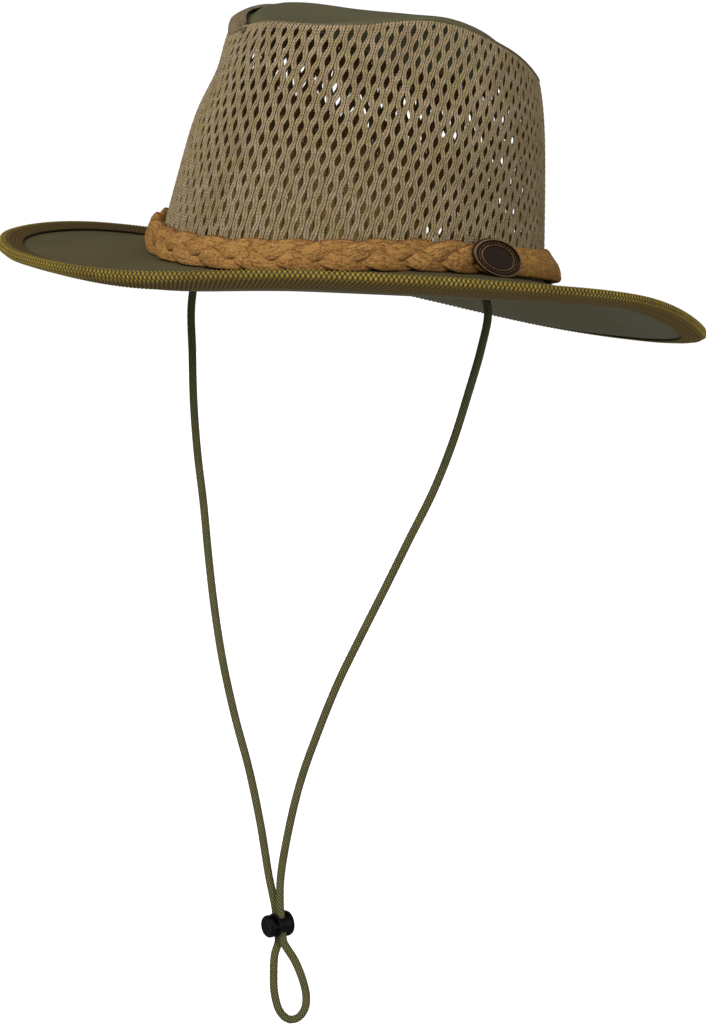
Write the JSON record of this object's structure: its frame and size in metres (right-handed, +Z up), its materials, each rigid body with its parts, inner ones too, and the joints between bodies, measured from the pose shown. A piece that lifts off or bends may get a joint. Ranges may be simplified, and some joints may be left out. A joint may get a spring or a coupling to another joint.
{
  "type": "sun hat",
  "caption": "Wide-brimmed sun hat with an open net crown wall, a creased canvas top, a taped brim, a plaited band and a chin cord with a spring lock.",
  "frame": {"origin": "centre of the head opening, at the height of the crown's foot, where a head fills the hat", "axes": "+Z up through the crown, -Y towards the front of the hat, +X towards the wearer's left"},
  "size_m": [0.3188, 0.3568, 0.4756],
  "materials": {
    "net_yarn": "matt knitted tan-olive yarn",
    "canvas": "matt olive-brown waxed canvas",
    "edge_tape": "braided yellow-green and brown tape",
    "suede": "tan suede, soft nap",
    "badge_leather": "dark brown, low sheen",
    "cord": "tight round braid, dark olive",
    "lock_plastic": "near black moulded plastic"
  },
  "bodies": {
    "hat": {"crown_net": "net_yarn", "crown_top": "canvas", "brim": "canvas", "brim_tape": "edge_tape", "hat_band": "suede", "badge": "badge_leather", "chin_cord": "cord", "lock_body": "lock_plastic"},
    "lock_button": {"lock_slide": "lock_plastic"}
  },
  "joints": [
    {"name": "lock_press", "type": "slide", "parent": "hat", "child": "lock_button", "axis": [0.3274, 0.9294, 0.1704], "range_m": [0, 0.001], "stiffness_N_per_m": 300, "springref_m": -0.001}
  ]
}
